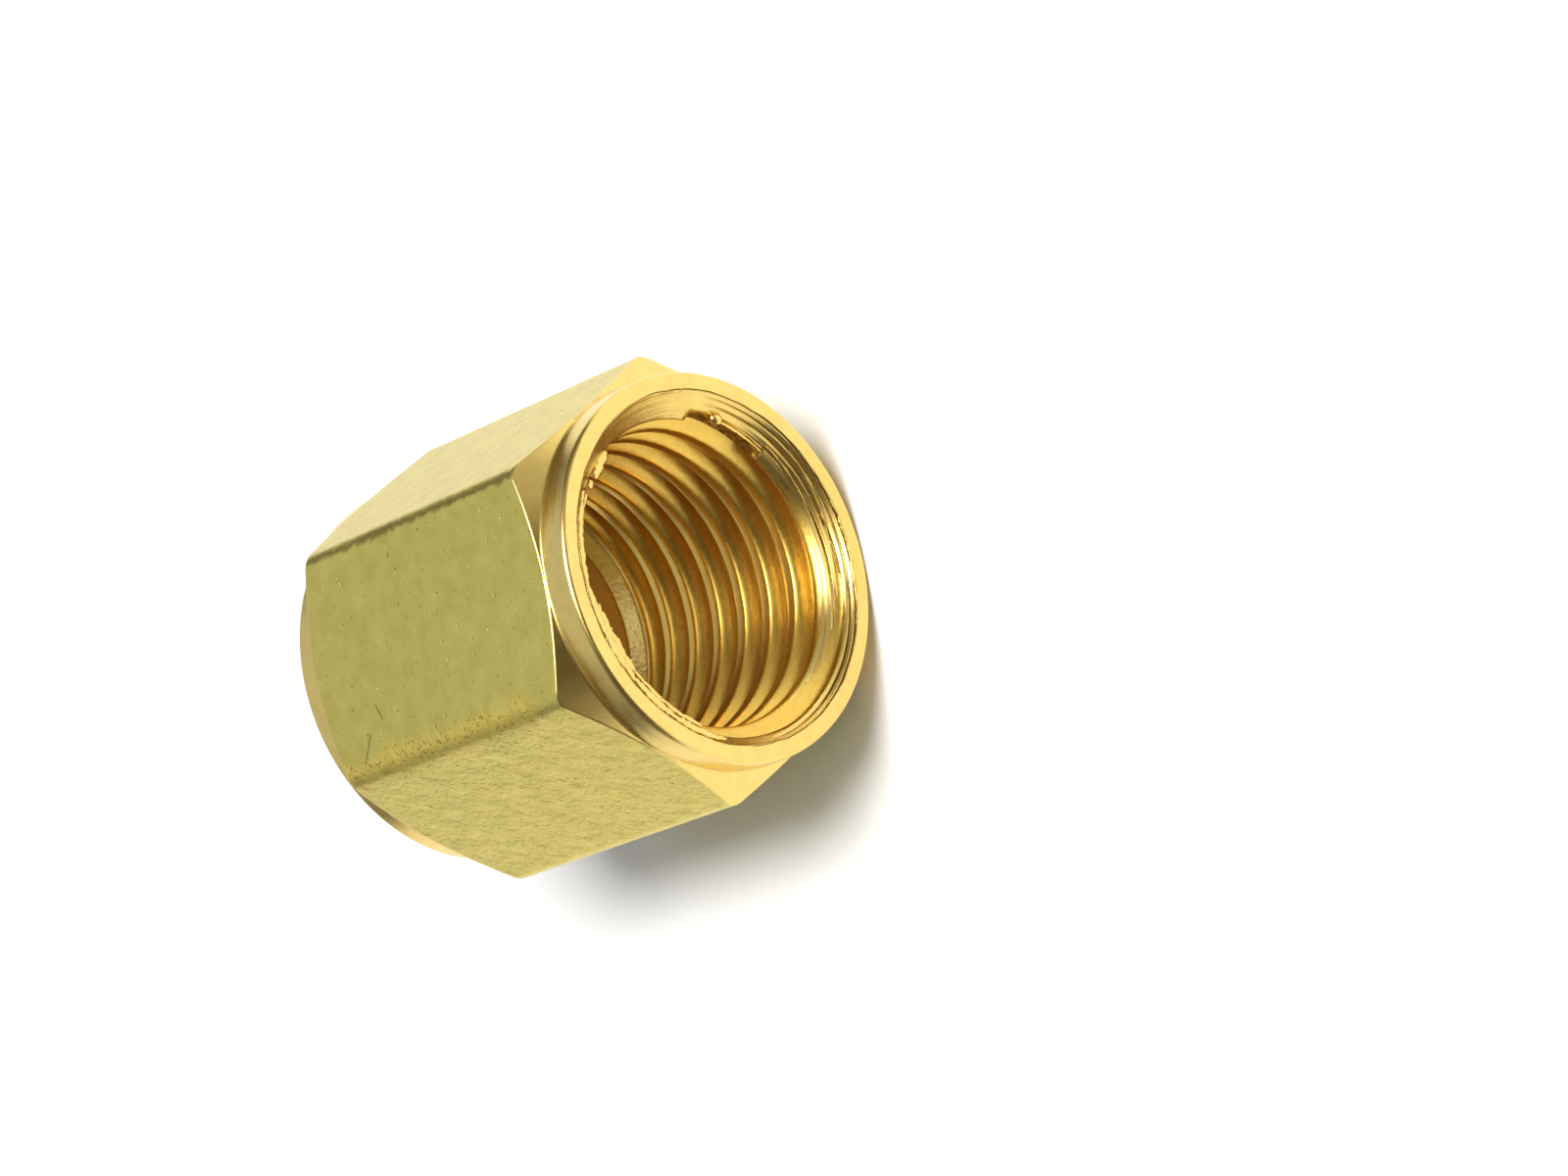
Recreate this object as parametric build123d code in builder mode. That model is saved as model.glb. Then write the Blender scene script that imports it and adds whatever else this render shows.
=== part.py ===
"""A brass hose nut: hexagon bar, bored and threaded from one end, and turned at both ends.

The nut lies on one flat. The floor is Z = 0, the mouth of the thread faces -Y, and the origin is
on the floor under the middle of the nut. Sizes are in millimetres.
"""
import os
from math import cos, radians, tan

from build123d import *
from build123d.topology import SkipClean

# The bar
across_flats = 11.11      # 7/16 in hexagon
corner_radius = 0.55      # drawn bar has soft long corners
overall_length = 11.68
bar_end_spare = 3.0       # faced off again once the thread is cut

# Turned ends: a short round collar at each end, and the corners faced off at 30 degrees
collar_step = 0.055       # the flats stand this far above the collars
back_collar_height = 0.64
mouth_collar_height = 0.91
corner_slope = tan(radians(30))
mouth_rim_radius = 0.17   # rounded outer rim of the mouth
back_rim_break = 0.08

# The bore: a plain hole for the hose stem, then a wider threaded bore that ends on a conical seat
stem_hole_radius = 3.90
stem_hole_break = 0.25
seat_slope = tan(radians(45))
shoulder_depth = 8.10     # mouth face to the outer edge of the seat
mouth_face_width = 0.44   # flat ring between the collar and the countersink
countersink_slope = tan(radians(45))

# The thread: 3/8-24 UNF, right-handed, 60 degree flanks
thread_pitch = 25.4 / 24
thread_major_radius = 9.525 / 2
thread_depth = 0.5125
flank_slope = tan(radians(30))
root_flat = thread_pitch / 8
first_groove = 0.43       # outer edge of the seat to the middle of the first groove
cutter_reach = 0.10       # the cutter stands this far out of the wall, in the open bore

# Radii, and heights along the bore from the back face
axis_height = across_flats / 2
bar_radius = axis_height / cos(radians(30))
collar_radius = axis_height - collar_step
corner_rise = (bar_radius - collar_radius) * corner_slope
mouth_collar_at = overall_length - mouth_collar_height
mouth_opening_radius = collar_radius - mouth_face_width
thread_minor_radius = thread_major_radius - thread_depth
countersink_depth = (mouth_opening_radius - thread_minor_radius) / countersink_slope
shoulder_at = overall_length - shoulder_depth
seat_foot = shoulder_at - (thread_minor_radius - stem_hole_radius) * seat_slope
thread_start = shoulder_at + first_groove
thread_length = overall_length + thread_pitch - thread_start

back_y = overall_length / 2
bore_direction = (0, -1, 0)
bore_axis = Axis((0, 0, axis_height), bore_direction)
back_face = Plane(origin=(0, back_y, axis_height), x_dir=(1, 0, 0), z_dir=bore_direction)
axial_section = Plane(origin=(0, back_y, axis_height), x_dir=(1, 0, 0), z_dir=(0, 0, -1))

with BuildPart() as hose_nut:
    # Hexagon bar, with spare length at the mouth end
    with BuildSketch(back_face) as bar_section:
        RegularPolygon(radius=axis_height, side_count=6, major_radius=False)
        fillet(bar_section.vertices(), radius=corner_radius)
    extrude(amount=overall_length + bar_end_spare)

    # Stepped bore, drilled out through the spare end: radius to the right, back face at the bottom
    with BuildSketch(axial_section) as bore_outline:
        with BuildLine():
            Polyline(
                (0, 0),
                (stem_hole_radius + stem_hole_break, 0),
                (stem_hole_radius, stem_hole_break),
                (stem_hole_radius, seat_foot),
                (thread_minor_radius, shoulder_at),
                (thread_minor_radius, overall_length + bar_end_spare),
                (0, overall_length + bar_end_spare),
                close=True,
            )
        make_face()
    revolve(axis=bore_axis, mode=Mode.SUBTRACT)

    # Thread: one groove swept along a helix, from just above the seat into the spare end
    with BuildLine() as thread_path:
        Helix(
            pitch=thread_pitch,
            height=thread_length,
            radius=thread_minor_radius,
            center=(0, back_y - thread_start, axis_height),
            direction=bore_direction,
        )
    path_start = thread_path.line @ 0
    outward = (path_start - Vector(0, path_start.Y, axis_height)).normalized()
    groove_plane = Plane(
        origin=path_start, x_dir=outward, z_dir=outward.cross(Vector(*bore_direction))
    )
    half_root = root_flat / 2
    half_base = half_root + (thread_depth + cutter_reach) * flank_slope
    with BuildSketch(groove_plane) as groove_section:
        with BuildLine():
            Polyline(
                (-cutter_reach, -half_base),
                (thread_depth, -half_root),
                (thread_depth, half_root),
                (-cutter_reach, half_base),
                close=True,
            )
        make_face()
    sweep(path=thread_path.line, is_frenet=True, mode=Mode.SUBTRACT)

    # Turning: both collars, the faced corners, the mouth face and the countersink in one outline
    with BuildSketch(axial_section) as turned_outline:
        with BuildLine():
            Polyline(
                (0, 0),
                (collar_radius - back_rim_break, 0),
                (collar_radius, back_rim_break),
                (collar_radius, back_collar_height),
                (bar_radius, back_collar_height + corner_rise),
                (bar_radius, mouth_collar_at - corner_rise),
                (collar_radius, mouth_collar_at),
                (collar_radius, overall_length - mouth_rim_radius),
            )
            RadiusArc(
                (collar_radius, overall_length - mouth_rim_radius),
                (collar_radius - mouth_rim_radius, overall_length),
                -mouth_rim_radius,
            )
            Polyline(
                (collar_radius - mouth_rim_radius, overall_length),
                (mouth_opening_radius, overall_length),
                (thread_minor_radius, overall_length - countersink_depth),
                (0, overall_length - countersink_depth),
                (0, 0),
            )
        make_face()
    revolve(axis=bore_axis, mode=Mode.INTERSECT)

# Halved at axis height and joined again as one solid, with the faces left divided: this way no face
# of the bore's wall winds round more than half a turn.
axis_level = Plane.XY.offset(axis_height)
upper_half = hose_nut.part.split(axis_level, keep=Keep.TOP)
lower_half = hose_nut.part.split(axis_level, keep=Keep.BOTTOM)
with SkipClean():
    whole_nut = upper_half.fuse(lower_half)
whole_nut.label = "hose_nut"

os.makedirs("parts", exist_ok=True)
export_step(whole_nut, "parts/hose_nut.step")
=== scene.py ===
# %% [markdown]
# # Brass hose nut
#
# A small brass nut lies on one of its flats on a pale floor. It is cut from hexagon bar, and has a
# round collar turned at each end, a plain hole for the hose stem, a conical seat, and a tapped,
# countersunk mouth.
#
# It could be put together from a hexagon, some cylinders and a Screw modifier's thread with booleans,
# but a boolean leaves ragged faces just where the thread runs out into the countersink. So the nut is
# one closed surface that numpy works out. A profile runs once round the section of its wall: across
# the mouth face, along the outside, across the back, and up the bore and the thread to the mouth
# again. There is one profile for each direction round the bore, and the surface joins neighbours.
#
# Sizes are in millimetres until a mesh is made. A point has a direction round the bore's axis in
# degrees, a radius from it, and a height above the back face. The mouth faces -Y.

import bmesh
import bpy
import numpy as np
from mathutils import Matrix, Vector


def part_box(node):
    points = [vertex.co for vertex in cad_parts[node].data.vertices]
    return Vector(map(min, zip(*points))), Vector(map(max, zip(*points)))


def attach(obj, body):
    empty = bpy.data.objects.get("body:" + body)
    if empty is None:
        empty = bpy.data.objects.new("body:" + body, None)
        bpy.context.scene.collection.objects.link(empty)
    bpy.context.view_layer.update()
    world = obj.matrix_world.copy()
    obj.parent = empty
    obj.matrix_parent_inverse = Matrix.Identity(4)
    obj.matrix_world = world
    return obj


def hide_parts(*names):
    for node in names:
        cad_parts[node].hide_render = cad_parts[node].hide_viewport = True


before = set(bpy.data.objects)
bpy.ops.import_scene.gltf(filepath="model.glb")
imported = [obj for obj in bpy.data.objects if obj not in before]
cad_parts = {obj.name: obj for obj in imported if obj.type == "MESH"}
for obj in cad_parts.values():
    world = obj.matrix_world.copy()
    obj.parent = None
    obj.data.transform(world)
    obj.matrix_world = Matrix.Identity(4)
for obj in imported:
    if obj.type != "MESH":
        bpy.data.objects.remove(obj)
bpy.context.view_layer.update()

MM = 0.001
node_lowest, node_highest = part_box("hose_nut")
node_size = [round((high - low) / MM, 2) for low, high in zip(node_lowest, node_highest)]
LENGTH = node_size[1]
ACROSS_FLATS = node_size[2]
print("nodes:", list(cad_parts), "length and width across flats, mm:", LENGTH, ACROSS_FLATS)

# %% [markdown]
# ## Hexagon bar
#
# The bar came from the drawing die with its six long corners a little round. A six-sided cylinder
# with a Bevel modifier has that shape, but its points wouldn't line up with those of the thread
# inside. Here the whole nut shares one set of directions round the bore. Every long corner gets a
# close set of its own, and every flat an even one. The first direction comes again at the end, a
# full turn further, since the thread climbs by one pitch a turn.

# %% Section of the bar
CORNER_RADIUS = 0.55
CORNER_STEPS = 13
half_width = ACROSS_FLATS / 2
corner_centre = (half_width - CORNER_RADIUS) / np.cos(np.radians(30))
facing = np.radians(np.linspace(-30, 30, CORNER_STEPS))
corner_turns = np.arctan2(
    CORNER_RADIUS * np.sin(facing), corner_centre + CORNER_RADIUS * np.cos(facing)
)
corner_half_turn = corner_turns[-1]


def hexagon_radius(turn):
    """Distance from the axis to the outside of the bar. On a flat it is half the width across flats
    over the cosine of the angle from the flat's middle. On a corner it is where the line in that
    direction meets a circle of the corner radius."""
    from_corner = np.radians((turn + 30) % 60 - 30)
    from_flat = np.radians(30) - np.abs(from_corner)
    across = corner_centre * np.sin(from_corner)
    on_corner = corner_centre * np.cos(from_corner) + np.sqrt(np.maximum(CORNER_RADIUS**2 - across**2, 0))
    return np.where(np.abs(from_corner) < corner_half_turn, on_corner, half_width / np.cos(from_flat))


print("each rounded corner takes, degrees:", round(2 * np.degrees(corner_half_turn), 2))

# %% Directions round the bore
SEAM = 90.0                # direction in which the surface starts and ends
FLAT_STEPS = 31
CORNER_GAP = 0.3           # from a corner's last direction to the first one on the flat
corner_turns = np.degrees(corner_turns)
flat_start = corner_turns[-1] + CORNER_GAP
flat_turns = np.linspace(flat_start, 60 - corner_turns[-1] - CORNER_GAP, FLAT_STEPS)
one_side = np.concatenate([corner_turns, flat_turns])
all_sides = (one_side + 60 * np.arange(6)[:, None]).ravel()
turns = np.sort((all_sides - SEAM) % 360) + SEAM
turns = np.append(turns, turns[0] + 360)
print("directions:", len(turns))

# %% [markdown]
# ## Turned ends, stem hole and seat
#
# A lathe has turned the round collars, with a cone from each that runs out to the hexagon, and drilled
# the stem hole, which ends in a conical seat for the hose's tail. The Screw modifier would spin one
# profile, but on this nut the cones' outer corners differ from one direction to the next. So every
# direction gets its own copy of the profile, and the corners that depend on the bar take its radius
# there.
#
# No turned edge is perfectly sharp, and a small rounding is what catches a line of light. A Bevel
# modifier would have to find these edges on the finished mesh. Here each corner of the profile is
# rounded first, by its own size.

# %% Rounding the corners of a profile
SUPPORT = 0.02             # from a rounding to the extra point that keeps the face beyond it flat


def rounded_path(points, sizes, steps):
    """Rounds the inner corners of one path for each direction. Each corner becomes a parabola that
    starts and ends its size away from the corner, with one more point just beyond each end. No
    rounding takes more than 0.4 of the straight on either side of it."""
    corner = points[:, 1:-1]
    back = points[:, :-2] - corner
    ahead = points[:, 2:] - corner
    back_length = np.linalg.norm(back, axis=2, keepdims=True)
    ahead_length = np.linalg.norm(ahead, axis=2, keepdims=True)
    size = np.minimum(np.array(sizes)[None, :, None], 0.4 * np.minimum(back_length, ahead_length))
    extra = np.minimum(SUPPORT, 0.3 * size)
    back, ahead = back / back_length, ahead / ahead_length
    stretches = []
    for i, count in enumerate(steps):
        t = np.linspace(0, 1, count + 1)[None, :, None]
        at, to_back, to_ahead, cut, more = (x[:, i : i + 1] for x in (corner, back, ahead, size, extra))
        stretches.append(at + to_back * (cut + more))
        stretches.append(at + (1 - t) ** 2 * to_back * cut + t**2 * to_ahead * cut)
        stretches.append(at + to_ahead * (cut + more))
    return np.concatenate(stretches, axis=1)


# %% Turned profiles
COLLAR_RADIUS = 5.50
BACK_COLLAR_HEIGHT = 0.64
MOUTH_COLLAR_AT = LENGTH - 0.91
CONE_SLOPE = np.tan(np.radians(30))
STEM_HOLE_RADIUS = 3.90
STEM_HOLE_BREAK = 0.25     # the broken edge of the stem hole at the back
THREAD_MINOR_RADIUS = 4.25
SEAT_TOP = LENGTH - 8.10
SEAT_FOOT = SEAT_TOP - (THREAD_MINOR_RADIUS - STEM_HOLE_RADIUS)
MOUTH_RADIUS = 5.06
COUNTERSINK_AT = LENGTH - (MOUTH_RADIUS - THREAD_MINOR_RADIUS)

outside = hexagon_radius(turns)
rise = (outside - COLLAR_RADIUS) * CONE_SLOPE

# The corners of the profile: a radius, a height, the size of the rounding and the steps across it.
# The first and the last only show which way the profile comes and goes.
corners = [
    (THREAD_MINOR_RADIUS, COUNTERSINK_AT, 0, 0),
    (MOUTH_RADIUS, LENGTH, 0.03, 3),
    (COLLAR_RADIUS, LENGTH, 0.17, 6),
    (COLLAR_RADIUS, MOUTH_COLLAR_AT, 0.06, 3),
    (outside, MOUTH_COLLAR_AT - rise, 0.04, 3),
    (outside, BACK_COLLAR_HEIGHT + rise, 0.04, 3),
    (COLLAR_RADIUS, BACK_COLLAR_HEIGHT, 0.04, 3),
    (COLLAR_RADIUS, 0, 0.08, 4),
    (STEM_HOLE_RADIUS + STEM_HOLE_BREAK, 0, 0.03, 3),
    (STEM_HOLE_RADIUS, STEM_HOLE_BREAK, 0.04, 3),
    (STEM_HOLE_RADIUS, SEAT_FOOT, 0.04, 3),
    (THREAD_MINOR_RADIUS, SEAT_TOP, 0.05, 3),
    (THREAD_MINOR_RADIUS, SEAT_TOP + 1, 0, 0),
]
everywhere = np.ones_like(turns)
path = np.stack(
    [np.stack([everywhere * radius, everywhere * height], axis=1) for radius, height, *_ in corners],
    axis=1,
)
_, _, rounding_sizes, rounding_steps = zip(*corners[1:-1])
turned = rounded_path(path, rounding_sizes, rounding_steps)
turned_rows = turned.shape[1]
print("points on a turned profile:", turned_rows)

# %% [markdown]
# ## Thread
#
# A tap has cut a right-handed thread of 24 turns to the inch, with 60 degrees between its flanks and
# narrow flat roots, and has dragged its crests round. The usual way in Blender is a tooth shape on a
# Screw modifier, which then has to be trimmed at both ends. Here the bore is a radius worked out from
# direction and height, so the groove can fade in above the seat and the countersink can cut it back.
#
# The rows of points climb with the helix, so that they lie along its crests, flanks and roots. Level
# rows would cross them, and every flank would come out as a staircase.

# %% Radius of the bore
PITCH = 25.4 / 24
MAJOR_RADIUS = 9.525 / 2
THREAD_DEPTH = MAJOR_RADIUS - THREAD_MINOR_RADIUS
FLANK_SLOPE = np.tan(np.radians(30))
HALF_ROOT = PITCH / 16
FIRST_GROOVE_AT = SEAT_TOP + 0.43
RUN_IN_AT = SEAT_TOP + 0.05
RUN_IN = 0.5               # the height over which the groove gets its full depth
ROOT_EASING = 0.08
CREST_EASING = 0.12
COUNTERSINK_EASING = 0.06


def soft_max(a, b, blend):
    """The larger of a and b, with the corner where they cross eased by a parabola."""
    return np.maximum(a, b) + np.maximum(blend - np.abs(a - b), 0) ** 2 / (4 * blend)


def groove_height(turn):
    """Height of the middle of the first groove. It rises by one pitch a turn, right-handed."""
    return FIRST_GROOVE_AT + PITCH * (turn + 90) / 360


def countersink_radius(height):
    """Radius of the 90 degree countersink, which gains as much as it climbs."""
    return THREAD_MINOR_RADIUS + height - COUNTERSINK_AT


def bore_radius(turn, height):
    """Radius of the tapped bore. Away from the middle of the groove the depth falls by the flank's
    slope until the crest. The groove gets its depth over the run-in, by 3 t^2 - 2 t^3. The larger
    of that radius and the countersink's is taken, with the corner between them eased."""
    away = np.abs((height - groove_height(turn) + PITCH / 2) % PITCH - PITCH / 2)
    depth = THREAD_DEPTH - (away - HALF_ROOT) / FLANK_SLOPE
    depth = -soft_max(-depth, -THREAD_DEPTH, ROOT_EASING)
    depth = soft_max(depth, 0, CREST_EASING)
    run_in = np.clip((height - RUN_IN_AT) / RUN_IN, 0, 1)
    depth = depth * run_in * run_in * (3 - 2 * run_in)
    return soft_max(THREAD_MINOR_RADIUS + depth, countersink_radius(height), COUNTERSINK_EASING)


print("pitch and depth of the thread, mm:", round(PITCH, 3), round(THREAD_DEPTH, 3))

# %% Rows of the thread
# Rows across half a pitch, as distances from the middle of the groove. They are close where the root
# and the crest turn into the flank. Rows are laid a pitch too far at each end, held between the seat
# and the mouth, and left out where they would lie wholly on either.
ROWS_FROM_GROOVE = [0.03, 0.055, 0.085, 0.12, 0.17, 0.22, 0.27, 0.315, 0.345, 0.37, 0.40, 0.45]

half_pitch = np.array(ROWS_FROM_GROOVE)
across_pitch = np.concatenate([-half_pitch[::-1], [0], half_pitch])
highest_row = turned[0, 0, 1]
lowest_row = turned[0, -1, 1]
first_pitch = np.floor((lowest_row - groove_height(SEAM + 360)) / PITCH) - 1
pitch_count = int(np.ceil((highest_row - groove_height(SEAM)) / PITCH) + 2 - first_pitch)
row_height = (PITCH * (first_pitch + np.arange(pitch_count))[:, None] + across_pitch).ravel()
climb = row_height[None, :] + groove_height(turns)[:, None]
thread_height = np.clip(climb, lowest_row, highest_row)
thread = np.stack([bore_radius(turns[:, None], thread_height), thread_height], axis=2)
used = (thread_height > lowest_row).any(axis=0) & (thread_height < highest_row).any(axis=0)
thread, climb = thread[:, used], climb[:, used]
print("rows of the thread:", thread.shape[1])

# %% [markdown]
# ## Ragged lip and torn crest
#
# The countersink has left the lip of the mouth slightly ragged, and beside the last groove a stretch
# of the crest has torn off down to a rough floor. Displace modifiers with a noise texture could roughen
# the whole rim alike. Both faults have their own place and depth, so they are moves of the profile's
# points, with chance numbers for each direction.

# %% Chance numbers and eased steps
profile = np.concatenate([turned, thread], axis=1)
directions, rows = profile.shape[:2]
radius, height = profile[..., 0], profile[..., 1]
turn = turns[:, None]
chance = np.random.default_rng(7)


def ragged(smooth):
    """A chance number from 0 to 1 for each direction, the same at both ends of the turn, averaged
    over some neighbours."""
    value = chance.random(directions - 1)
    value = sum(np.roll(value, i) for i in range(-smooth, smooth + 1)) / (2 * smooth + 1)
    return np.append(value, value[0])[:, None]


def between(value, start, end, ease):
    """1 from start to end, and 0 beyond an eased step outside them. Angles wrap round."""
    middle, half = (start + end) / 2, (end - start) / 2
    away = np.abs((value - middle + 180) % 360 - 180) - half
    return np.clip(1 - away / ease, 0, 1)


# %% Wear of the lip
LIP_REACH = 0.09           # distance from the lip at which its wear has fallen to 1/e
LIP_WEAR = 0.01
LIP_RAGGED = 0.06
from_lip = ((radius - MOUTH_RADIUS) / LIP_REACH) ** 2 + ((height - LENGTH) / LIP_REACH) ** 2
lip_move = np.exp(-from_lip) * (LIP_WEAR + LIP_RAGGED * ragged(1))
radius -= lip_move
print("the lip moves by up to, mm:", round(lip_move.max(), 3))

# %% Tear of the crest
# The tear runs from one direction to another and fades over some degrees. Its top and its depth
# each have an even part and a chance one.
TEAR_FROM = -40
TEAR_TO = -8
TEAR_FADE = 9
TEAR_TOP = 11.06
TEAR_TOP_RAGGED = 0.14
TEAR_DEPTH = 0.22
TEAR_DEPTH_RAGGED = 0.09
TURNS_TO_LAST_GROOVE = 6
last_groove = groove_height(turn - 360 * (turn > 180)) + TURNS_TO_LAST_GROOVE * PITCH
tear_top = TEAR_TOP + TEAR_TOP_RAGGED * ragged(0)
torn = between(turn, TEAR_FROM, TEAR_TO, TEAR_FADE) * (height > last_groove) * (height < tear_top)
floor_radius = THREAD_MINOR_RADIUS + TEAR_DEPTH + TEAR_DEPTH_RAGGED * ragged(0)
torn_radius = np.maximum(radius, floor_radius * torn)
torn_away = (torn_radius - radius)[:, turned_rows:].max()
radius[:, turned_rows:] = torn_radius[:, turned_rows:]
print("deepest tear, mm:", round(torn_away, 2))

# %% [markdown]
# ## The sheet and its finishes
#
# All rows of all directions make one sheet of four-sided faces. Each face gets the number of its
# finish. Separate objects for each finish would be simpler to tell apart, but they would leave open
# seams in what is one piece of metal, so one mesh has several material slots.
#
# The tool lines have to follow the turning, so the sheet has a UV map in millimetres: U runs round
# the nut and V runs across the lines. V starts again at its own number on the thread and on the
# countersink, so that a material can tell them apart.

# %% Faces, and the finish of each row
DRAWN, TURNED, TAPPED, SEAT, STEM_HOLE, TORN = range(6)


def sheet_faces(strips, points):
    """Faces of a sheet. The points of each strip join up in a ring, and each strip joins the next."""
    number = np.arange(strips * points).reshape(strips, points)
    here, there = number[:-1], number[1:]
    faces = np.stack([here, np.roll(here, -1, axis=1), np.roll(there, -1, axis=1), there], axis=2)
    return faces.reshape(-1, 4)


faces = sheet_faces(directions, rows)

# A flat is the only step of the first profile that drops by more than 5 mm. Its finish takes in the
# narrow face on either side.
first_radius, first_height = turned[0, :, 0], turned[0, :, 1]
flat_row = np.flatnonzero(np.diff(first_height) < -5)[0]
in_hole = np.flatnonzero((first_radius < STEM_HOLE_RADIUS + 0.02) & (first_height > 0.2))
on_seat = np.flatnonzero((first_radius < THREAD_MINOR_RADIUS + 0.01) & (first_height < SEAT_TOP))
row_finish = np.full(rows, TURNED)
row_finish[flat_row - 1 : flat_row + 2] = DRAWN
row_finish[turned_rows - 1 :] = TAPPED
row_finish[in_hole[0] : in_hole[-1]] = STEM_HOLE
row_finish[in_hole[-1] : on_seat[-1] + 1] = SEAT
print("faces:", len(faces))

# %% Finish of the countersink and of the tear
# A face counts when all of its points do. The finish with painted shade stops a little short of the
# tear's end, and reaches a little past it in height.
NEAR = 0.03                # distance from the countersink's cone that still counts as on it
TEAR_FINISH_TO = -12
TEAR_FINISH_FADE = 6
TEAR_FINISH_BELOW = 0.14
TEAR_FINISH_ABOVE = 0.02
on_countersink = (height - COUNTERSINK_AT > NEAR) & (radius - countersink_radius(height) < NEAR)
on_countersink[:, :turned_rows] = False
on_countersink = on_countersink.ravel()[faces].all(axis=1)
in_tear = between(turn, TEAR_FROM, TEAR_FINISH_TO, TEAR_FINISH_FADE) > 0.3
in_tear = in_tear & (height > last_groove - TEAR_FINISH_BELOW) & (height < tear_top + TEAR_FINISH_ABOVE)
in_tear[:, :turned_rows] = False
in_tear = in_tear.ravel()[faces].all(axis=1)
finish = np.tile(row_finish, directions - 1)
finish[on_countersink] = TURNED
finish[in_tear] = TORN
print("faces of each finish:", np.bincount(finish).tolist())

# %% Turning map
THREAD_V = 40
COUNTERSINK_V = 80
CONE_LENGTH = 1.4          # length along the countersink's cone for each millimetre of height
profile_step = np.linalg.norm(np.diff(turned[0], axis=0), axis=1)
along = np.tile(np.concatenate([[0], np.cumsum(profile_step)]), (directions, 1))
across_thread = THREAD_V + climb - groove_height(turns)[:, None]
v_elsewhere = np.concatenate([along, across_thread], axis=1)
v_countersink = np.concatenate([along, COUNTERSINK_V + CONE_LENGTH * thread[..., 1]], axis=1)
u = np.radians(turn) * COLLAR_RADIUS + 0 * v_elsewhere
v = np.where(on_countersink[:, None], v_countersink.ravel()[faces], v_elsewhere.ravel()[faces])
uv = np.stack([u.ravel()[faces], v], axis=2)
print("V, lowest and highest, mm:", round(v.min(), 2), round(v.max(), 2))

# %% [markdown]
# ## The nut's mesh
#
# The points go to metres in the shared frame and the faces to from_pydata. The sheet still has a slit
# where the ends of the turn meet, and doubled points where rows stop at the seat or the mouth. Merge by
# Distance would close them by hand. bmesh does the same from a script, and can then count the open
# edges and measure the volume.

# %% Placing and closing a sheet
AXIS_HEIGHT = ACROSS_FLATS / 2
BACK_Y = LENGTH / 2


def place(turn, radius, height):
    """A point of the nut in metres: x is the radius times the cosine of the direction, z is its sine
    part above the height of the axis, and y runs from the back face against the height."""
    angle = np.radians(turn)
    x = radius * np.cos(angle)
    z = AXIS_HEIGHT + radius * np.sin(angle)
    return np.stack([x, BACK_Y - height, z], axis=-1) * MM


def close_up(mesh, gap):
    """Merges points closer than the gap, turns every face outwards and shades the mesh smooth."""
    sheet = bmesh.new()
    sheet.from_mesh(mesh)
    bmesh.ops.remove_doubles(sheet, verts=sheet.verts, dist=gap)
    bmesh.ops.recalc_face_normals(sheet, faces=sheet.faces)
    open_edges = sum(not edge.is_manifold for edge in sheet.edges)
    volume = sheet.calc_volume() / MM**3
    sheet.to_mesh(mesh)
    sheet.free()
    mesh.shade_smooth()
    triangles = sum(len(face.vertices) - 2 for face in mesh.polygons)
    print(f"{mesh.name}: triangles {triangles}, open edges {open_edges}, volume {volume:.2f} mm3")


# %% The nut
SEAM_GAP = 0.003           # points as close as this lie on one spot

points = place(turn, radius, height)
nut_mesh = bpy.data.meshes.new("brass_hose_nut")
nut_mesh.from_pydata(points.reshape(-1, 3), [], faces.tolist())
nut_mesh.polygons.foreach_set("material_index", finish)
turning = nut_mesh.uv_layers.new(name="turning")
turning.data.foreach_set("uv", uv.ravel())
close_up(nut_mesh, SEAM_GAP * MM)

nut = bpy.data.objects.new("brass_hose_nut", nut_mesh)
bpy.context.collection.objects.link(nut)
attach(nut, "root")
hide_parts("hose_nut")

# %% [markdown]
# ## Burrs
#
# The cutters have left slivers of brass standing along the mouth. They could be sculpted on the nut,
# but a sculpted mesh can't be worked out again when a size changes. Each sliver is a small closed
# piece of its own, a profile carried along a path: it follows an arc round the bore, and its section
# is an oval that is ragged in width and shrinks to a point at both ends. It stands partly in the nut.

# %% One sliver
OVAL_POINTS = 8
STEPS_PER_DEGREE = 1.5
FEWEST_STEPS = 8
TAPER = 0.35               # below 1, so that a sliver keeps its width until near its ends
THINNEST = 0.2             # share of the width that is even
LUMPS = 1.6                # share that is left to chance
SWAY = 0.3                 # how far it strays from its arc, as a share of its width
SHORT_OF_FACE = 0.01       # slivers stop this far short of the mouth's face
MERGE_GAP = 0.0005         # at the two ends, where the section is a point
slivers = []


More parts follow.
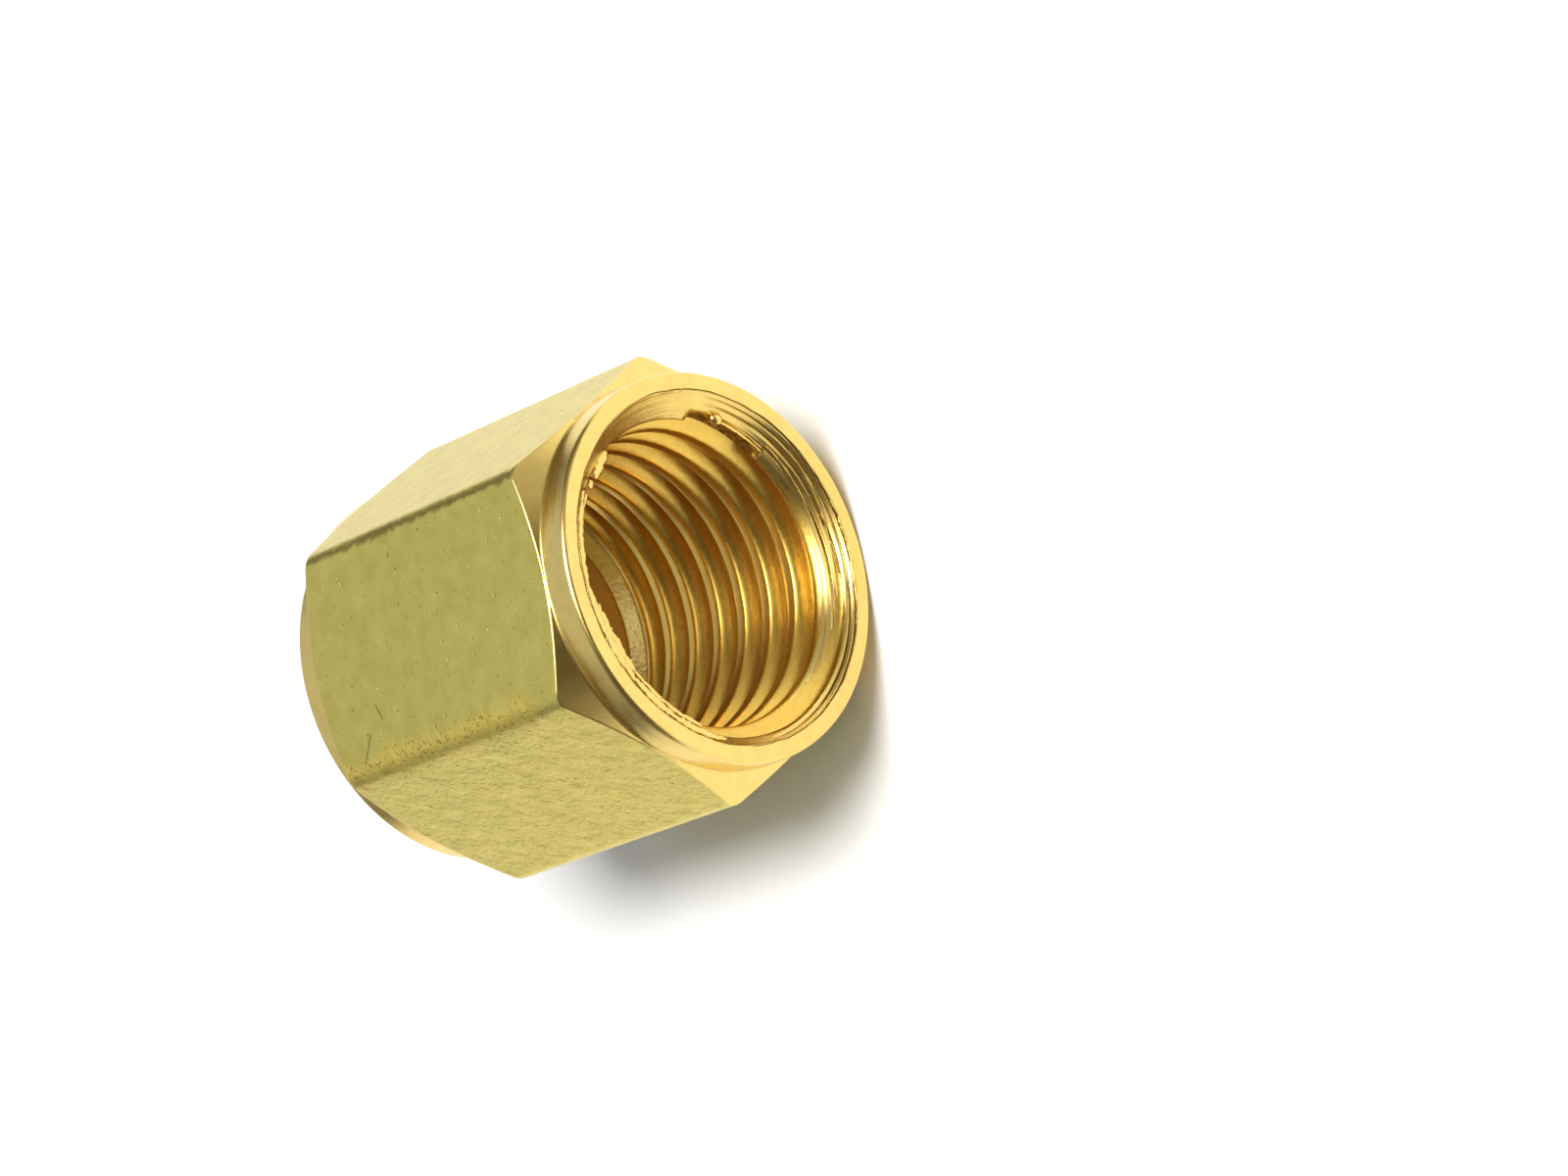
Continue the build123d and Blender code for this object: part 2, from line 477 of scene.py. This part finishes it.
def sliver(name, start, end, at_radius, at_height, wide, tall):
    """An arc of ragged section from a start to an end direction. Radius and height each have a
    value at the start and one at the end. The section is wide along the radius and tall along the
    axis, times sin(pi t) to the power of the taper and a chance number averaged over five."""
    count = max(int(abs(end - start) * STEPS_PER_DEGREE), FEWEST_STEPS)
    lump = np.convolve(chance.random(count + 4), np.full(5, 1 / 5), "valid")[:, None]
    t = np.linspace(0, 1, count)[:, None]
    oval = np.linspace(0, 2 * np.pi, OVAL_POINTS, endpoint=False)[None, :]
    swell = np.sin(np.pi * t) ** TAPER * (THINNEST + LUMPS * lump)
    sway = SWAY * wide * (chance.random((count, 1)) - 0.5)
    outward = at_radius[0] + (at_radius[1] - at_radius[0]) * t + sway + wide * swell * np.cos(oval)
    upward = at_height[0] + (at_height[1] - at_height[0]) * t + tall * swell * np.sin(oval)
    arc = place(start + (end - start) * t, outward, np.minimum(upward, LENGTH - SHORT_OF_FACE))
    sliver_mesh = bpy.data.meshes.new(name)
    sliver_mesh.from_pydata(arc.reshape(-1, 3), [], sheet_faces(count, OVAL_POINTS).tolist())
    close_up(sliver_mesh, MERGE_GAP * MM)
    piece = bpy.data.objects.new(name, sliver_mesh)
    bpy.context.collection.objects.link(piece)
    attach(piece, "root")
    slivers.append(piece)


# %% The slivers round the mouth
sliver("burr_upper_left", 37, 50.5, (4.37, 4.27), (11.01, 10.99), 0.13, 0.06)
sliver("burr_left_chip", 51.5, 55.5, (4.31, 4.31), (11.0, 11.0), 0.12, 0.06)
sliver("burr_left", 57.5, 76, (4.34, 4.31), (11.0, 11.0), 0.08, 0.05)
sliver("burr_roll", 62, 168, (4.84, 4.86), (11.60, 11.61), 0.13, 0.05)
sliver("burr_flake", 100, 127, (4.66, 4.68), (11.56, 11.56), 0.18, 0.05)
sliver("burr_roll_edge", 124, 158, (4.68, 4.68), (11.58, 11.58), 0.09, 0.06)
sliver("burr_right", -112, -50, (5.01, 5.01), (11.65, 11.65), 0.045, 0.04)
sliver("ridge_right", -42, -72, (4.58, 4.49), (11.27, 11.18), 0.035, 0.035)
sliver("ridge_far_right", -48, -84, (4.84, 4.66), (11.53, 11.34), 0.03, 0.03)
sliver("burr_tear", -42, -16, (4.43, 4.48), (11.12, 11.17), 0.05, 0.03)
sliver("burr_tear_chip", -21, -15.5, (4.47, 4.47), (11.21, 11.21), 0.15, 0.13)

# %% [markdown]
# ## Tools for the materials
#
# All of the nut is one yellow brass, and what differs is how each surface was made, with light and
# shade painted into a few of them. A painted image could hold that, but it would blur close up. Each
# finish is a small node tree instead, with patterns made from noise.
#
# Nodes are laid by one function. It fills a node's inputs from the top down, as they show on the
# node, and gives back its output, so that a pattern reads like a sum.

# %% Colours and nodes
def linear(code):
    """The linear colour of an sRGB hex code, as red, green, blue and 1."""
    srgb = np.array([int(code[i : i + 2], 16) for i in (0, 2, 4)]) / 255
    light = np.where(srgb <= 0.04045, srgb / 12.92, ((srgb + 0.055) / 1.055) ** 2.4)
    return (*light.tolist(), 1.0)


def fill(tree, socket, value):
    """Gives an input its value, or links it to the output of another node."""
    if isinstance(value, bpy.types.NodeSocket):
        tree.links.new(value, socket)
    else:
        socket.default_value = value


def add_node(tree, kind, settings, *values, output=None, **named):
    """A new node with its settings. The values fill its inputs from the top down, and named ones go
    to the input of that name. It gives back the output asked for, or the first one in use."""
    node = tree.nodes.new("ShaderNode" + kind)
    for name, value in settings.items():
        setattr(node, name, value)
    for socket, value in zip([socket for socket in node.inputs if socket.enabled], values):
        fill(tree, socket, value)
    for name, value in named.items():
        fill(tree, node.inputs[name], value)
    return node.outputs[output] if output else next(out for out in node.outputs if out.enabled)


print("brass yellow as linear light:", [round(v, 3) for v in linear("E2BC58")[:3]])

# %% Patterns
MULTIPLY = {"operation": "MULTIPLY"}
MULTIPLY_ADD = {"operation": "MULTIPLY_ADD"}
MAXIMUM = {"operation": "MAXIMUM"}
COLOURS = {"data_type": "RGBA"}
SMOOTH = {"interpolation_type": "SMOOTHSTEP"}
LOW, HIGH = 0.3, 0.7       # most of a noise's values lie between these
ROUND_THE_NUT = 0.05       # width of a turned pattern over its length round the nut


def in_millimetres(tree, stretch=(1, 1, 1)):
    """Object coordinates in millimetres, stretched by a factor for each axis."""
    metres = add_node(tree, "TexCoord", {}, output="Object")
    return add_node(tree, "VectorMath", MULTIPLY, metres, [factor / MM for factor in stretch])


def along_turning(tree):
    """The UV map in millimetres, drawn out round the nut, so that noise on it makes tool lines."""
    turning_mm = add_node(tree, "UVMap", {"uv_map": "turning"})
    return add_node(tree, "VectorMath", MULTIPLY, turning_mm, [ROUND_THE_NUT, 1, 0])


def two_colours(tree, pattern, first, second, low=LOW, high=HIGH):
    """The first colour where the pattern is below low, the second above high, and a mix between."""
    amount = add_node(tree, "MapRange", {}, pattern, low, high, 0.0, 1.0)
    return add_node(tree, "Mix", COLOURS, amount, linear(first), linear(second))


def laid_over(tree, colour, pattern, most, over_colour):
    """The colour with another laid over it, as strong as the pattern times its most. It lays real stains
    and painted shade alike.
    """
    amount = add_node(tree, "Math", MULTIPLY, pattern, most)
    return add_node(tree, "Mix", COLOURS, amount, colour, linear(over_colour))


def bumps(tree, *layers):
    """Bump nodes one after another. A layer is a pattern, its depth in millimetres and a strength.
    A layer with a negative depth is sunk in."""
    below = {}
    for pattern, depth, strength in layers:
        sunk = {"invert": depth < 0}
        bump = add_node(tree, "Bump", sunk, strength, abs(depth) * MM, Height=pattern, **below)
        below = {"Normal": bump}
    return bump


def near_line(tree, at_mm, start, end, half_width):
    """1 on the straight line from start to end, falling to 0 at half its width, in millimetres. The
    nearest point of the line is at the dot product with it, over its length squared, held between
    0 and 1."""
    line = Vector(end) - Vector(start)
    offset = add_node(tree, "VectorMath", {"operation": "SUBTRACT"}, at_mm, start)
    scaled = line / line.length_squared
    share = add_node(tree, "VectorMath", {"operation": "DOT_PRODUCT"}, offset, scaled)
    held = add_node(tree, "MapRange", {}, share, 0.0, 1.0, 0.0, 1.0)
    nearest = add_node(tree, "VectorMath", {"operation": "SCALE"}, line, held)
    gap = add_node(tree, "VectorMath", {"operation": "DISTANCE"}, offset, nearest)
    return add_node(tree, "MapRange", SMOOTH, gap, half_width, 0.0, 0.0, 1.0)


print("tool lines are drawn out, times:", 1 / ROUND_THE_NUT)

# %% Bare metal
finishes = []


def brass(name):
    """A node material for bare metal, whose tree is given back. A metal takes its look from the base
    colour and the roughness, so metallic is 1 and the IOR stays at its default."""
    material = bpy.data.materials.new(name)
    material.use_nodes = True
    material.node_tree.nodes["Principled BSDF"].inputs["Metallic"].default_value = 1.0
    finishes.append(material)
    return material.node_tree


def coat(tree, colour, roughness, normal=None):
    """Gives the metal its base colour, its roughness and, where it has one, its bumped normal."""
    shader = tree.nodes["Principled BSDF"]
    fill(tree, shader.inputs["Base Color"], colour)
    fill(tree, shader.inputs["Roughness"], roughness)
    if normal:
        fill(tree, shader.inputs["Normal"], normal)
    print(finishes[-1].name + ", nodes:", len(tree.nodes))


print("finishes to make:", TORN + 1)

# %% [markdown]
# ## Drawn brass
#
# The flats are as they came from the drawing die: a pale, dull yellow, since the die leaves a grain
# that spreads the reflections. Handling has added dents, dark specks and scratches. A ragged dark line
# runs along one long corner, and another is rubbed and pitted. Marks on corners could be found from
# the mesh's curvature, but then all six would look alike. So these two are lines from end to end of
# the bar, pushed about by noise, and the scratches are short lines on the top flat.

# %% Even patterns of drawn brass
# The size of a noise is the width of one of its patches, as a part of a millimetre.
TARNISH = 1 / 1.6
GRAIN = 1 / 12             # the real grain is finer, and this is as coarse as it needs to show
DRAWING_LINES = 1 / 14     # also coarser than the real ones
DENTS = 1 / 1.9
EVEN_UP_TO, DENTED_FROM = -2.4, -3.1   # X on the left side, where the dents get their full depth
LINE_STRETCH = 0.06        # width of a drawing line over its length

tree = brass("drawn brass, dull from the die")
at_mm = in_millimetres(tree)
bar_mm = in_millimetres(tree, (1, LINE_STRETCH, 1))
tarnish = add_node(tree, "TexNoise", {}, at_mm, Scale=1 / TARNISH, Detail=3.0, Roughness=0.6)
grain = add_node(tree, "TexNoise", {}, at_mm, Scale=1 / GRAIN, Detail=2.0, Roughness=0.6)
lines = add_node(tree, "TexNoise", {}, bar_mm, Scale=1 / DRAWING_LINES, Detail=2.0, Roughness=0.6)
dents = add_node(tree, "TexNoise", {}, at_mm, Scale=1 / DENTS, Detail=4.0, Roughness=0.72)
x_mm = add_node(tree, "SeparateXYZ", {}, at_mm)
dented = add_node(tree, "MapRange", {}, x_mm, EVEN_UP_TO, DENTED_FROM, 0.15, 1.0)
print("nodes of the even patterns:", len(tree.nodes))

# %% Marks along two corners
# A corner's mark is a line at one X, just under the top flat. Noise of its own size pushes it along X.
LINE_HEIGHT = 11.1
RUBBED_AT = -2.4
RUBBED_HALF_WIDTH = 0.75
RUBBED_NOISE = 1 / 1.3
RUBBED_PUSH = 1.4
DARK_LINE_AT = 3.34
DARK_LINE_HALF_WIDTH = 0.19
DARK_LINE_NOISE = 1 / 3
DARK_LINE_PUSH = 0.45


def corner_mark(x, first_y, last_y, half_width, noise_size, push):
    """A line along the bar with a ragged edge, 1 in its middle and 0 outside."""
    by = add_node(tree, "TexNoise", {}, at_mm, Scale=1 / noise_size, Detail=3.0, Roughness=0.65)
    pushed_mm = add_node(tree, "VectorMath", MULTIPLY_ADD, by, (push, 0, 0), at_mm)
    ends = [(x, y, LINE_HEIGHT) for y in (first_y, last_y)]
    return near_line(tree, pushed_mm, *ends, half_width)


rubbed = corner_mark(RUBBED_AT, -3.0, 6.0, RUBBED_HALF_WIDTH, RUBBED_NOISE, RUBBED_PUSH)
# The second corner gets a ragged dark line laid in its colour.
marks = corner_mark(DARK_LINE_AT, -4.7, 5.5, DARK_LINE_HALF_WIDTH, DARK_LINE_NOISE, DARK_LINE_PUSH)
print("nodes with the corners' marks:", len(tree.nodes))

# %% Scratches and pits
# Scratches on the top flat, from one X and Y to another. The rubbed corner has more pits.
SCRATCHES = [((-1.42, 2.89), (-1.82, 2.71)), ((-2.14, 3.34), (-2.86, 3.79))]
SCRATCH_HALF_WIDTH = 0.05
PITS = 1 / 6.5
MORE_PITS = 0.13           # how much the rubbing adds to the pits' noise
PIT_EDGE, PIT_FLOOR = 0.64, 0.73       # values of that noise

for start, end in SCRATCHES:
    ends = [(*point, ACROSS_FLATS) for point in (start, end)]
    scratch = near_line(tree, at_mm, *ends, SCRATCH_HALF_WIDTH)
    marks = add_node(tree, "Math", MAXIMUM, marks, scratch)
pit_noise = add_node(tree, "TexNoise", {}, at_mm, Scale=1 / PITS, Detail=3.0, Roughness=0.6)
pits = add_node(tree, "Math", MULTIPLY_ADD, rubbed, MORE_PITS, pit_noise)
specks = add_node(tree, "MapRange", {}, pits, PIT_EDGE, PIT_FLOOR, 0.0, 1.0)
print("scratches:", len(SCRATCHES))

# %% Coat of drawn brass
colour = two_colours(tree, tarnish, "CDBB5C", "DCCA6A")
colour = laid_over(tree, colour, specks, 1.0, "A08840")
colour = laid_over(tree, colour, rubbed, 0.45, "D0B85E")
colour = laid_over(tree, colour, marks, 0.75, "7A5E20")
grain_roughness = add_node(tree, "MapRange", {}, grain, 0.0, 1.0, 0.28, 0.44)
roughness = add_node(tree, "Math", MULTIPLY_ADD, rubbed, 0.25, grain_roughness)
normal = bumps(
    tree,
    (lines, 0.003, 1.0), (grain, 0.006, 1.0), (dents, 0.06, dented), (specks, -0.01, 1.0),
    (marks, -0.01, 1.0),
)
coat(tree, colour, roughness, normal)

# %% [markdown]
# ## Turned brass
#
# A lathe tool leaves bright metal with fine rings. They spread a reflection across themselves and
# hardly at all along, which is why a turned face shows a bright fan. An anisotropic shader would
# give the fan without any rings. These rings are coarse enough to be seen, so they are bumps: noise
# on the turning map, drawn out round the nut. On the low side of the countersink the cutter has also
# left a few deep grooves, and painted shade darkens them, most of all there.

# %% Even patterns of turned brass
TOOL_LINES = 1 / 14        # the feed of the tool, drawn coarser than it is
RINGS = 1 / 4.5
BRIGHT_MOTTLE = 1 / 3
LOW_SIDE_FROM, LOW_SIDE_TO = 4.8, 3.0  # Z, where the rings and the grooves deepen, and the grooves' painted shade darkens

tree = brass("turned brass, bright with fine tool lines")
at_mm = in_millimetres(tree)
ring_mm = along_turning(tree)
tool_lines = add_node(tree, "TexNoise", {}, ring_mm, Scale=1 / TOOL_LINES, Detail=3.0, Roughness=0.6)
rings = add_node(tree, "TexNoise", {}, ring_mm, Scale=1 / RINGS, Detail=1.0, Roughness=0.5)
mottle = add_node(tree, "TexNoise", {}, at_mm, Scale=1 / BRIGHT_MOTTLE, Detail=2.0, Roughness=0.5)
z_mm = add_node(tree, "SeparateXYZ", {}, at_mm, output="Z")
low_side = add_node(tree, "MapRange", {}, z_mm, LOW_SIDE_FROM, LOW_SIDE_TO, 0.0, 1.0)
print("nodes of the even patterns:", len(tree.nodes))

# %% Tool grooves
# Each groove has a height on the countersink, half a width, and its depth and painted shade away from the
# low side, as a share.
GROOVES = [(11.17, 0.05, 0.0), (11.34, 0.07, 0.0), (11.49, 0.05, 0.0), (11.62, 0.06, 0.8)]
GROOVE_GAPS = 1 / 7        # size of the noise that breaks the grooves up
GAP_EDGE, GAP_END = 0.35, 0.60         # values of that noise
FAINTEST = 0.3             # of a groove, in a gap

uv_mm = add_node(tree, "UVMap", {"uv_map": "turning"})
v_mm = add_node(tree, "SeparateXYZ", {}, uv_mm, output="Y")
grooves = 0.0
for groove_at, half_width, elsewhere in GROOVES:
    groove_v = COUNTERSINK_V + CONE_LENGTH * groove_at
    offset = add_node(tree, "Math", {"operation": "SUBTRACT"}, v_mm, groove_v)
    away = add_node(tree, "Math", {"operation": "ABSOLUTE"}, offset)
    depth_and_shade = add_node(tree, "MapRange", {}, low_side, 0.0, 1.0, elsewhere, 1.0)
    groove = add_node(tree, "MapRange", SMOOTH, away, half_width, 0.0, 0.0, depth_and_shade)
    grooves = add_node(tree, "Math", MAXIMUM, grooves, groove)
gaps = add_node(tree, "TexNoise", {}, ring_mm, Scale=1 / GROOVE_GAPS, Detail=2.0, Roughness=0.5)
kept = add_node(tree, "MapRange", {}, gaps, GAP_EDGE, GAP_END, FAINTEST, 1.0)
broken_grooves_and_shade = add_node(tree, "Math", MULTIPLY, grooves, kept)
print("tool grooves:", len(GROOVES))

# %% Coat of turned brass
colour = two_colours(tree, mottle, "E6C873", "EFD17B")
# The grooves' dark colour is painted shade, at full strength on the low side.
colour = laid_over(tree, colour, broken_grooves_and_shade, 1.0, "745620")
roughness = add_node(tree, "MapRange", {}, tool_lines, 0.0, 1.0, 0.18, 0.34)
ring_strength = add_node(tree, "MapRange", {}, low_side, 0.0, 1.0, 0.15, 1.0)
normal = bumps(
    tree, (rings, 0.05, ring_strength), (broken_grooves_and_shade, -0.04, 1.0), (tool_lines, 0.006, 1.0)
)
coat(tree, colour, roughness, normal)

# %% [markdown]
# ## Tapped brass
#
# A tap tears the metal a little as it cuts, so the flanks of the thread are bright but uneven. They
# look a deeper, warmer yellow than the outside. That glow could be painted in, but it is light that
# has bounced between flanks that face each other, and it moves with the view. So only the colour,
# some fine lines along the groove and a light tearing are set, and the bounces do the rest.

# %% Tapped brass
TAP_LINES = 1 / 18         # coarser than the real ones
TAP_TEARING = 1 / 5

tree = brass("tapped brass, torn and bright")
ring_mm = along_turning(tree)
at_mm = in_millimetres(tree)
tap_lines = add_node(tree, "TexNoise", {}, ring_mm, Scale=1 / TAP_LINES, Detail=3.0, Roughness=0.6)
tearing = add_node(tree, "TexNoise", {}, at_mm, Scale=1 / TAP_TEARING, Detail=3.0, Roughness=0.6)
colour = two_colours(tree, tearing, "E2BC58", "EBC662")
roughness = add_node(tree, "MapRange", {}, tap_lines, 0.0, 1.0, 0.22, 0.38)
normal = bumps(tree, (tap_lines, 0.004, 1.0), (tearing, 0.012, 0.6))
coat(tree, colour, roughness, normal)

# %% [markdown]
# ## Drilled brass
#
# The drill has cut the conical seat and the stem hole behind it. The two could share one finish, but
# the seat catches the light from the mouth, and the hole hardly gets any. So the seat has a rough bump
# under a pale colour of painted light, and the hole a plain deep colour of painted shade.

# %% Seat and stem hole
SEAT_TEARING = 1 / 6

tree = brass("drilled brass, seat painted pale as if lit")
at_mm = in_millimetres(tree)
tearing = add_node(tree, "TexNoise", {}, at_mm, Scale=1 / SEAT_TEARING, Detail=3.0, Roughness=0.6)
# The seat's pale colour is painted light.
colour = two_colours(tree, tearing, "ECE49E", "F2EEB0")
coat(tree, colour, 0.35, bumps(tree, (tearing, 0.03, 1.0)))

tree = brass("drilled brass, stem hole painted with shade")
# The stem hole's deep brown is painted shade.
coat(tree, linear("B4761C"), 0.5)

# %% [markdown]
# ## Torn brass
#
# Where the crest tore off, the metal parted along its grains. The facets are too small to reflect a
# shape, so the place looks dark and rough. It could be cut finer into the mesh, but a deep bump under
# two browns of painted shade gives the same at this size.

# %% Torn crest
TORN_GRAINS = 1 / 9

tree = brass("torn brass, rough, with painted shade")
at_mm = in_millimetres(tree)
tearing = add_node(tree, "TexNoise", {}, at_mm, Scale=1 / TORN_GRAINS, Detail=3.0, Roughness=0.6)
# Two browns of painted shade, mixed by the grain.
colour = two_colours(tree, tearing, "7A5A20", "C89A48", 0.35, 0.65)
coat(tree, colour, 0.5, bumps(tree, (tearing, 0.05, 1.0)))

# %% Hand the finishes out
# The slots have the order of the finishes' numbers on the faces. The slivers are turned brass too, and
# without a turning map they get its colour and shine but none of its rings.
for material in finishes:
    nut_mesh.materials.append(material)
for piece in slivers:
    piece.data.materials.append(finishes[TURNED])
print("slots of the nut:", [slot.name for slot in nut.material_slots])

# %% [markdown]
# ## Floor
#
# The nut stands on plain white card. A curved sweep would also hide the horizon, but the camera looks
# steeply down and never sees one, so one big face is enough.

# %% White card
FLOOR_REACH = 0.6          # metres from the nut to each side

corner_signs = [(-1, -1), (1, -1), (1, 1), (-1, 1)]
floor_mesh = bpy.data.meshes.new("floor")
floor_corners = [(FLOOR_REACH * x, FLOOR_REACH * y, 0) for x, y in corner_signs]
floor_mesh.from_pydata(floor_corners, [], [(0, 1, 2, 3)])
floor = bpy.data.objects.new("floor", floor_mesh)
bpy.context.collection.objects.link(floor)

paper = bpy.data.materials.new("white matt card")
paper.use_nodes = True
card = paper.node_tree.nodes["Principled BSDF"]
card.inputs["Base Color"].default_value = linear("F7F7F5")
card.inputs["Roughness"].default_value = 0.9
card.inputs["Specular IOR Level"].default_value = 0.1
floor_mesh.materials.append(paper)
print("floor, metres across:", 2 * FLOOR_REACH)

# %% [markdown]
# ## Lamp
#
# One large soft lamp stands nearly overhead. A sun lamp would be as simple, but it is nearly a point
# as seen from the nut and would draw hard sparks on the brass. A disk that reaches 15 degrees to each
# side gives soft shadows and broad highlights. Its power is its radiance times pi squared times the
# square of its radius, so the light on the nut stays the same when the distance changes.

# %% Overhead lamp
LAMP_DISTANCE = 0.5
LAMP_HALF_ANGLE = np.radians(15)
LAMP_RADIANCE = 16.0
TOWARDS_LAMP = Vector((0.21, -0.34, 1.0)).normalized()

lamp = bpy.data.lights.new("overhead soft lamp", "AREA")
lamp.shape = "DISK"
lamp.size = 2 * LAMP_DISTANCE * np.tan(LAMP_HALF_ANGLE)
lamp.energy = float(LAMP_RADIANCE * np.pi * np.pi * (lamp.size / 2) ** 2)
lamp_object = bpy.data.objects.new("overhead_soft_lamp", lamp)
lamp_object.location = TOWARDS_LAMP * LAMP_DISTANCE
lamp_object.rotation_euler = TOWARDS_LAMP.to_track_quat("Z", "Y").to_euler()
bpy.context.collection.objects.link(lamp_object)
print("lamp, metres across and watts:", round(lamp.size, 3), round(lamp.energy, 2))

# %% [markdown]
# ## Room
#
# Polished metal shows what stands round it, so a nut in an even room looks flat. Cards and lamps could
# be set up as objects, but they would get in the way of other views. The world shader holds them
# instead: a dim warm room with soft patches, each in one direction, brighter for a window and darker
# for a shadow.

# %% Soft room
# Each patch has a direction, an angle within which it is whole, one beyond which it is gone, and a
# colour as linear red, green and blue.
ROOM = (0.12, 0.105, 0.085, 1)
PATCHES = [
    ((0.05, 0.74, 0.66), 20, 58, (0.62, 0.67, 0.76, 1)),
    ((0.75, -0.65, 0.10), 10, 35, (0.45, 0.42, 0.38, 1)),
    ((0.05, -0.96, 0.24), 12, 26, (0.03, 0.02, 0.01, 1)),
    ((0.12, -0.70, 0.71), 10, 25, (1.5, 1.4, 1.3, 1)),
    ((-0.50, -0.65, 0.57), 8, 18, (0.06, 0.05, 0.04, 1)),
]

world = bpy.data.worlds.new("soft room")
bpy.context.scene.world = world
world.use_nodes = True
tree = world.node_tree
direction = add_node(tree, "TexCoord", {})
room = ROOM
for towards, inner, outer, light in PATCHES:
    centre = Vector(towards).normalized()
    facing_it = add_node(tree, "VectorMath", {"operation": "DOT_PRODUCT"}, direction, centre)
    gone, whole = (float(np.cos(np.radians(angle))) for angle in (outer, inner))
    amount = add_node(tree, "MapRange", SMOOTH, facing_it, gone, whole, 0.0, 1.0)
    room = add_node(tree, "Mix", COLOURS, amount, room, light)
fill(tree, tree.nodes["Background"].inputs["Color"], room)
print("patches of light and shadow:", len(PATCHES))

# %% [markdown]
# ## Camera
#
# A long lens close above the nut looks down into its mouth. It could be aimed with a Track To
# constraint, but that always keeps the horizon level, and this view leans on its side. So the camera
# gets its three axes outright: right and ahead are given, and up is their cross product.

# %% Camera
LENS = 114.376             # focal length, in millimetres as for the sensor and the camera's place
SENSOR_WIDTH = 36
CAMERA_AT = Vector((-22.518, -101.297, 97.783))
CAMERA_RIGHT = Vector((-0.20517, -0.66412, -0.71892))
CAMERA_AHEAD = Vector((0.16038, 0.70181, -0.69408))

camera = bpy.data.cameras.new("camera")
camera.lens = LENS
camera.sensor_width = SENSOR_WIDTH
camera.clip_start = 5 * MM
camera.clip_end = 10
camera_object = bpy.data.objects.new("camera", camera)
bpy.context.collection.objects.link(camera_object)
camera_up = CAMERA_RIGHT.cross(CAMERA_AHEAD)
axes = Matrix((CAMERA_RIGHT, camera_up, -CAMERA_AHEAD)).transposed().to_4x4()
camera_object.matrix_world = Matrix.Translation(CAMERA_AT * MM) @ axes
bpy.context.scene.camera = camera_object
bpy.context.scene.view_settings.view_transform = "Standard"
print("camera, mm from the origin:", round(CAMERA_AT.length, 1))
